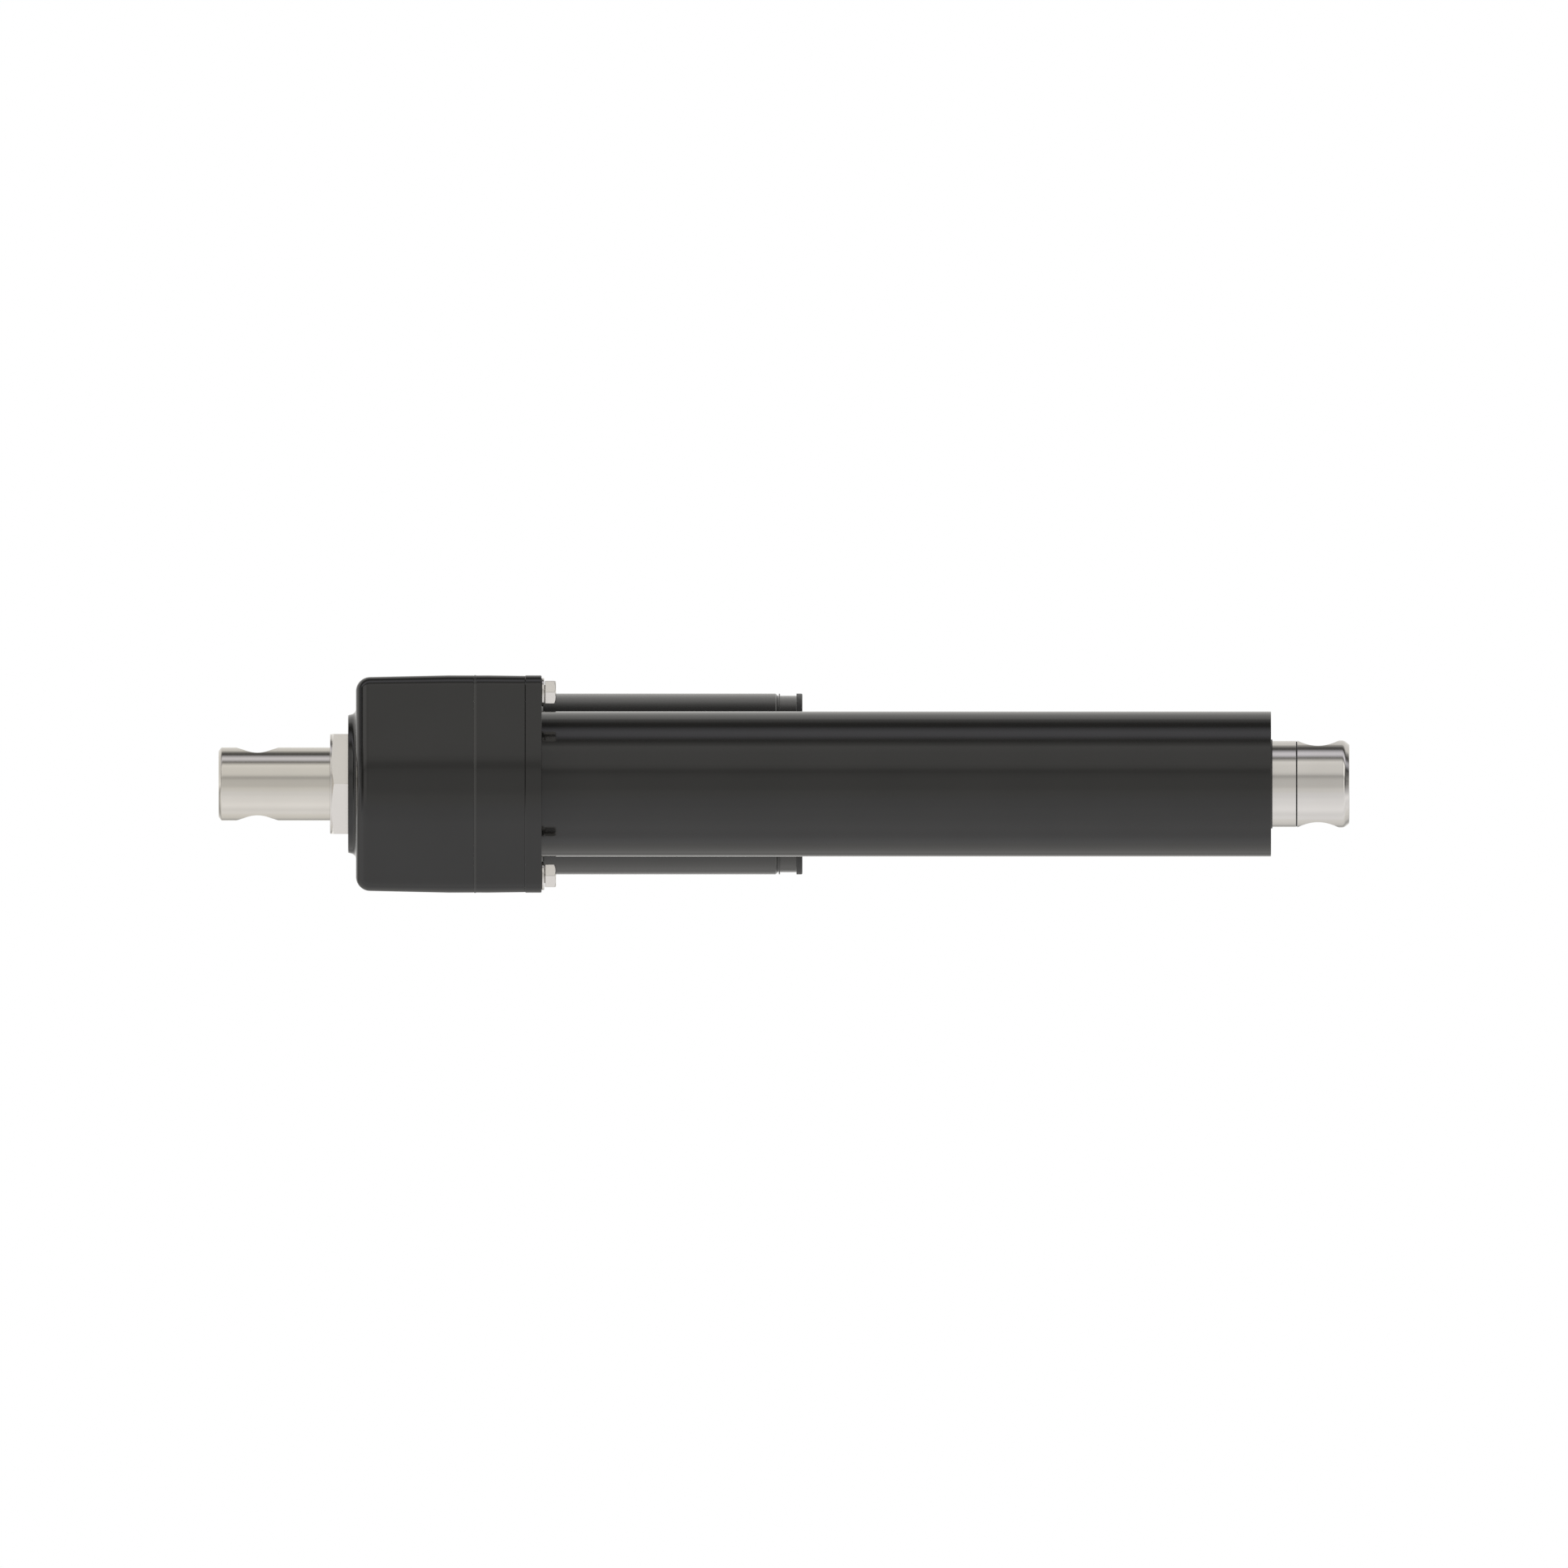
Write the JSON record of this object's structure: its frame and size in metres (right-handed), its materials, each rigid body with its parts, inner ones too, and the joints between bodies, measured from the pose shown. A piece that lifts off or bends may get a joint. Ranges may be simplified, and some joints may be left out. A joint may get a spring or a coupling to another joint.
{
  "type": "electric linear actuator",
  "caption": "Parallel-drive electric linear actuator: motor beside a spur gearbox and lead screw, steel rod telescoping from a black tube, a cross-drilled pin eye at each end.",
  "frame": {"origin": "centre of the rear eye's flat end face, on the screw axis", "axes": "+X along the screw axis towards the rod eye, +Y from the screw axis towards the motor axis, +Z square to both, along both pin holes"},
  "size_m": [0.3957, 0.1346, 0.0764],
  "materials": {
    "black_coat": "satin black powder coat",
    "nickel_plate": "turned and nickel plated",
    "stainless": "ground and polished",
    "gear_steel": "machined, oiled",
    "bearing_steel": "ground",
    "bronze": "turned bronze",
    "copper": "enamelled copper",
    "ferrite": "sintered, matt",
    "carbon": "pressed carbon, matt",
    "nylon": "natural nylon",
    "rubber": "black nitrile"
  },
  "bodies": {
    "housing": {"rear_eye": "nickel_plate", "jam_nut": "nickel_plate", "rear_cover": "black_coat", "housing_gasket": "rubber", "front_housing": "black_coat", "front_plate": "black_coat", "housing_bolt_1": "nickel_plate", "housing_bolt_2": "nickel_plate", "housing_bolt_3": "nickel_plate", "housing_bolt_4": "nickel_plate", "housing_bolt_5": "nickel_plate", "housing_bolt_6": "nickel_plate", "bolt_washer_1": "nickel_plate", "bolt_washer_2": "nickel_plate", "bolt_washer_3": "nickel_plate", "bolt_washer_4": "nickel_plate", "bolt_washer_5": "nickel_plate", "bolt_washer_6": "nickel_plate", "cover_tube": "black_coat", "tube_o_ring": "rubber", "bearing_retainer": "bearing_steel", "guide_bush": "bronze", "wiper_seal": "rubber", "guide_snap_ring": "gear_steel", "cluster_bush_rear": "bronze", "cluster_bush_front": "bronze", "screw_rear_bearing_outer_ring": "bearing_steel", "screw_front_bearing_outer_ring": "bearing_steel", "motor_front_bearing_outer_ring": "bearing_steel", "motor_rear_bush": "bronze", "motor_can": "black_coat", "motor_seal_ring": "rubber", "motor_end_cap": "black_coat", "lead_grommet": "rubber", "upper_magnet": "ferrite", "lower_magnet": "ferrite", "motor_through_bolt_1": "nickel_plate", "motor_through_bolt_2": "nickel_plate", "far_brush_box": "bronze", "near_brush_box": "bronze", "far_brush": "carbon", "near_brush": "carbon"},
    "rotor": {"motor_shaft": "gear_steel", "armature_core": "gear_steel", "armature_windings": "copper", "commutator": "copper", "motor_pinion": "gear_steel", "motor_front_bearing_inner_ring": "bearing_steel"},
    "cluster": {"cluster_pinion_shaft": "gear_steel", "cluster_gear": "gear_steel"},
    "screw": {"acme_screw": "gear_steel", "screw_end_stop": "nickel_plate", "screw_lock_nut": "nickel_plate", "screw_gear": "gear_steel", "screw_rear_bearing_inner_ring": "bearing_steel", "screw_front_bearing_inner_ring": "bearing_steel"},
    "rod": {"extension_tube": "stainless", "rod_eye": "stainless", "drive_nut": "bronze", "nut_guide_ring": "nylon"}
  },
  "joints": [
    {"name": "rotor_spin", "type": "hinge", "parent": "housing", "child": "rotor", "pos_m": [0, 0.06125, 0], "axis": [-1, 0, 0], "range_deg": [0, 82944]},
    {"name": "cluster_spin", "type": "hinge", "parent": "housing", "child": "cluster", "pos_m": [0, 0.035, 0], "axis": [-1, 0, 0], "range_deg": [-25920, 0]},
    {"name": "screw_spin", "type": "hinge", "parent": "housing", "child": "screw", "pos_m": [0, 0, 0], "axis": [-1, 0, 0], "range_deg": [0, 8640]},
    {"name": "rod_slide", "type": "slide", "parent": "housing", "child": "rod", "axis": [1, 0, 0], "range_m": [0, 0.1524]}
  ],
  "couplings": [
    {"joint": "cluster_spin", "follows": "rotor_spin", "ratio": -0.3125},
    {"joint": "screw_spin", "follows": "rotor_spin", "ratio": 0.10417},
    {"joint": "rod_slide", "follows": "rotor_spin", "m_per_rad": 0.00010527}
  ]
}
